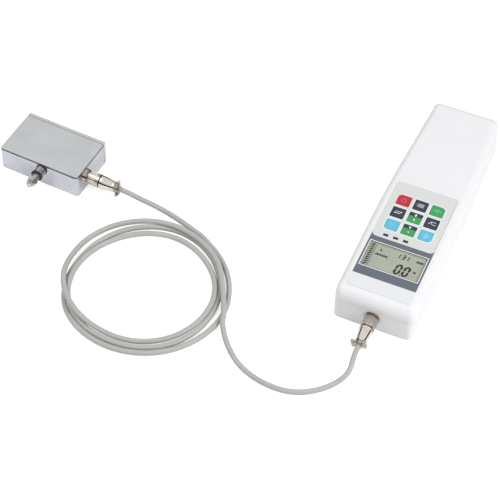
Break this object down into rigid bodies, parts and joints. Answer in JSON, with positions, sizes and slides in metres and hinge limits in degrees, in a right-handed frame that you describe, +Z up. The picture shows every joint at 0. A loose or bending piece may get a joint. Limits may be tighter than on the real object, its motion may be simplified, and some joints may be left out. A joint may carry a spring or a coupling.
{
  "type": "force gauge",
  "caption": "Handheld digital force gauge with keypad and display, joined by round connectors and a coiled cable to a separate box load cell with a threaded measuring stud.",
  "frame": {"origin": "centre of the display unit's underside, on the surface it rests on", "axes": "+Z up, +X to the right of someone who reads the display, +Y away from them towards the far end of the display unit"},
  "size_m": [0.3759, 0.334, 0.0367],
  "materials": {
    "casing": "fine moulded texture, off-white",
    "film": "satin pale grey-green film",
    "bezel": "slate grey film",
    "label": "plain pale film",
    "window": "clear",
    "lcd": "grey-green liquid crystal panel",
    "dark_window": "dark tinted",
    "lamp": "clear red",
    "board": "green solder mask",
    "spring_steel": "bare",
    "black_plastic": "black",
    "battery": "blue shrink sleeve",
    "brass": "turned",
    "steel": "zinc plated",
    "key_red": "satin",
    "key_dark": "satin",
    "key_green": "satin, dark upper part",
    "key_blue": "satin",
    "polished_steel": "polished",
    "satin_steel": "fine satin",
    "black_rubber": "black",
    "aluminium": "milled",
    "cable": "warm grey sheath",
    "nickel": "nickel plated, polished",
    "satin_nickel": "nickel plated, satin"
  },
  "bodies": {
    "instrument": {"front_cover": "casing", "rear_cover": "casing", "keypad_overlay": "film", "display_bezel": "bezel", "label_strip": "label", "lcd_window": "window", "lcd_module": "lcd", "status_windows": "dark_window", "indicator_leds": "lamp", "main_board": "board", "dome_switches": "spring_steel", "buzzer": "black_plastic", "battery_pack": "battery", "mounting_inserts": "brass", "case_screws": "steel", "charge_socket": "black_plastic", "data_socket": "black_plastic", "sensor_housing": "polished_steel", "sensor_top_plate": "satin_steel", "sensor_rear_plate": "satin_steel", "sensor_top_gasket": "black_rubber", "sensor_rear_gasket": "black_rubber", "rear_plate_screws": "steel", "load_cell": "aluminium", "stud_boss": "steel", "stud_seal": "black_rubber", "display_lead": "cable", "cable_coil": "cable", "sensor_lead": "cable", "display_socket": "nickel", "display_panel_nut": "nickel", "display_plug": "nickel", "display_seal_ring": "black_rubber", "display_cable_clamp": "nickel", "display_clamp_screws": "steel", "sensor_socket": "nickel", "sensor_panel_nut": "nickel", "sensor_plug": "nickel", "sensor_seal_ring": "black_rubber", "sensor_cable_clamp": "nickel", "sensor_clamp_screws": "steel"},
    "key_power_body": {"key_power": "key_red"},
    "key_menu_body": {"key_menu": "key_dark"},
    "key_zero_body": {"key_zero": "key_green"},
    "key_units_body": {"key_units": "key_dark"},
    "key_up_body": {"key_up": "key_green"},
    "key_peak_body": {"key_peak": "key_dark"},
    "key_light_body": {"key_light": "key_blue"},
    "key_down_body": {"key_down": "key_green"},
    "key_print_body": {"key_print": "key_blue"},
    "display_coupling": {"display_coupling_nut": "satin_nickel"},
    "sensor_coupling": {"sensor_coupling_nut": "satin_nickel"},
    "stud": {"measuring_stud": "steel"},
    "stud_locknut": {"stud_nut": "steel"}
  },
  "joints": [
    {"name": "key_power_press", "type": "slide", "parent": "instrument", "child": "key_power_body", "axis": [0, 0, -1], "range_m": [0, 0.0005], "stiffness_N_per_m": 4000},
    {"name": "key_menu_press", "type": "slide", "parent": "instrument", "child": "key_menu_body", "axis": [0, 0, -1], "range_m": [0, 0.0005], "stiffness_N_per_m": 4000},
    {"name": "key_zero_press", "type": "slide", "parent": "instrument", "child": "key_zero_body", "axis": [0, 0, -1], "range_m": [0, 0.0005], "stiffness_N_per_m": 4000},
    {"name": "key_units_press", "type": "slide", "parent": "instrument", "child": "key_units_body", "axis": [0, 0, -1], "range_m": [0, 0.0005], "stiffness_N_per_m": 4000},
    {"name": "key_up_press", "type": "slide", "parent": "instrument", "child": "key_up_body", "axis": [0, 0, -1], "range_m": [0, 0.0005], "stiffness_N_per_m": 4000},
    {"name": "key_peak_press", "type": "slide", "parent": "instrument", "child": "key_peak_body", "axis": [0, 0, -1], "range_m": [0, 0.0005], "stiffness_N_per_m": 4000},
    {"name": "key_light_press", "type": "slide", "parent": "instrument", "child": "key_light_body", "axis": [0, 0, -1], "range_m": [0, 0.0005], "stiffness_N_per_m": 4000},
    {"name": "key_down_press", "type": "slide", "parent": "instrument", "child": "key_down_body", "axis": [0, 0, -1], "range_m": [0, 0.0005], "stiffness_N_per_m": 4000},
    {"name": "key_print_press", "type": "slide", "parent": "instrument", "child": "key_print_body", "axis": [0, 0, -1], "range_m": [0, 0.0005], "stiffness_N_per_m": 4000},
    {"name": "display_coupling_turn", "type": "hinge", "parent": "instrument", "child": "display_coupling", "pos_m": [0, -0.1212, 0.015], "axis": [0, -1, 0], "range_deg": [0, 1080]},
    {"name": "sensor_coupling_turn", "type": "hinge", "parent": "instrument", "child": "sensor_coupling", "pos_m": [-0.26096, -0.07014, 0.0115], "axis": [0.9979, -0.0645, 0], "range_deg": [0, 1080]},
    {"name": "stud_deflection", "type": "slide", "parent": "instrument", "child": "stud", "axis": [-0.0645, -0.9979, 0], "range_m": [-0.0003, 0.0003], "stiffness_N_per_m": 20000},
    {"name": "stud_nut_turn", "type": "hinge", "parent": "stud", "child": "stud_locknut", "pos_m": [-0.30694, -0.09398, 0.0115], "axis": [-0.0645, -0.9979, 0], "range_deg": [0, 1440]}
  ]
}
